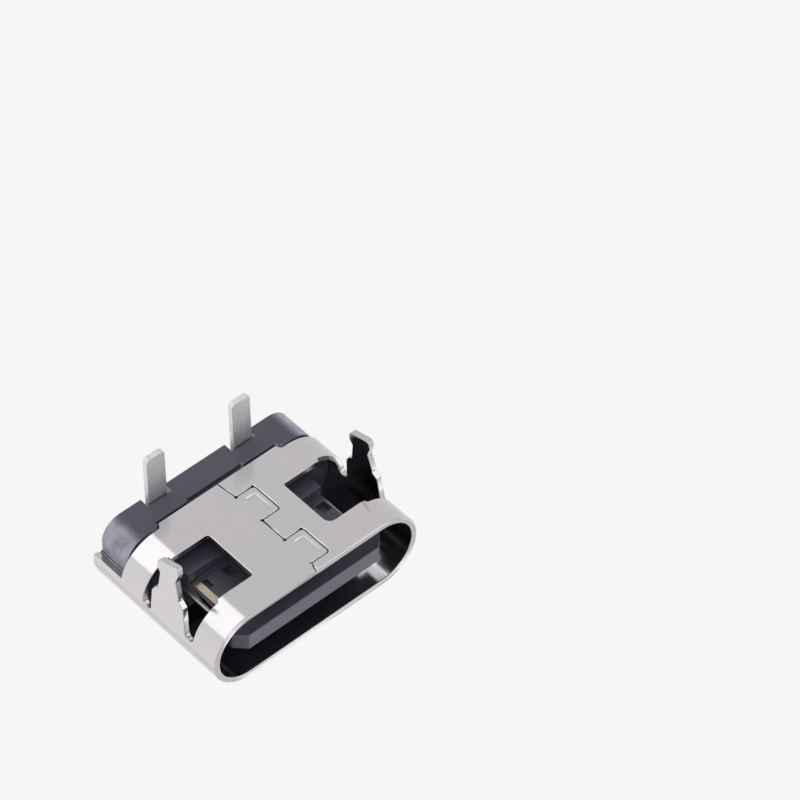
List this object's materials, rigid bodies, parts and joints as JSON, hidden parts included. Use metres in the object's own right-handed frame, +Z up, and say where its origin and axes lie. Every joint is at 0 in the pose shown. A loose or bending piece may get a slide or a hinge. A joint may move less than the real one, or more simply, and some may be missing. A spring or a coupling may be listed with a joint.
{
  "type": "usb-c socket",
  "caption": "Charging-only USB-C board socket: a folded oval metal shell with board legs round a moulded insulator whose tongue carries the contacts.",
  "frame": {"origin": "on the board's surface, under the middle of the mouth's plane", "axes": "+X across the mouth, +Y from the mouth to the rear, +Z up from the board"},
  "size_m": [0.0088, 0.0063, 0.0051],
  "materials": {
    "plated_steel": "smooth nickel plate",
    "moulding": "satin moulded plastic",
    "bare_steel": "plain rolled sheet",
    "gold_plate": "gold-flashed contact, matte tin pin",
    "tin_plate": "gold-flashed contact, matte tin pin"
  },
  "bodies": {
    "root": {"shell": "plated_steel", "insulator": "moulding", "latch_plate": "bare_steel", "ground_terminal": "gold_plate", "power_terminal": "tin_plate"}
  },
  "joints": []
}
